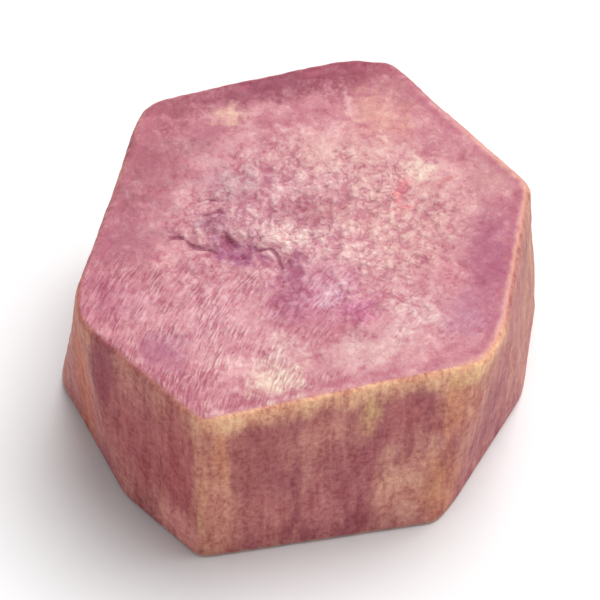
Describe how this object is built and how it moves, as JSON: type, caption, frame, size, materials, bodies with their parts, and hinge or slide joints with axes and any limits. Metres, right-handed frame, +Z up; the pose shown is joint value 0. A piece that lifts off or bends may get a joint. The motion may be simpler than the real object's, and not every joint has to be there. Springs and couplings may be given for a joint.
{
  "type": "purple sweet potato chunk",
  "caption": "Thick chunk of peeled purple sweet potato with knife-cut facets all round, a torn furrow in its upper cut face and a flat lower cut face that it rests on.",
  "frame": {"origin": "under the middle of the chunk's bounding box, on the plane that its lower cut face rests on", "axes": "+X to the right and -Y towards the viewer as in the picture, +Z up through the upper cut face"},
  "size_m": [0.0866, 0.0822, 0.0427],
  "materials": {
    "flesh": "moist cut flesh, mauve and rose mottled with cream, tan near the old skin"
  },
  "bodies": {
    "root": {"sweet_potato_chunk": "flesh"}
  },
  "joints": []
}
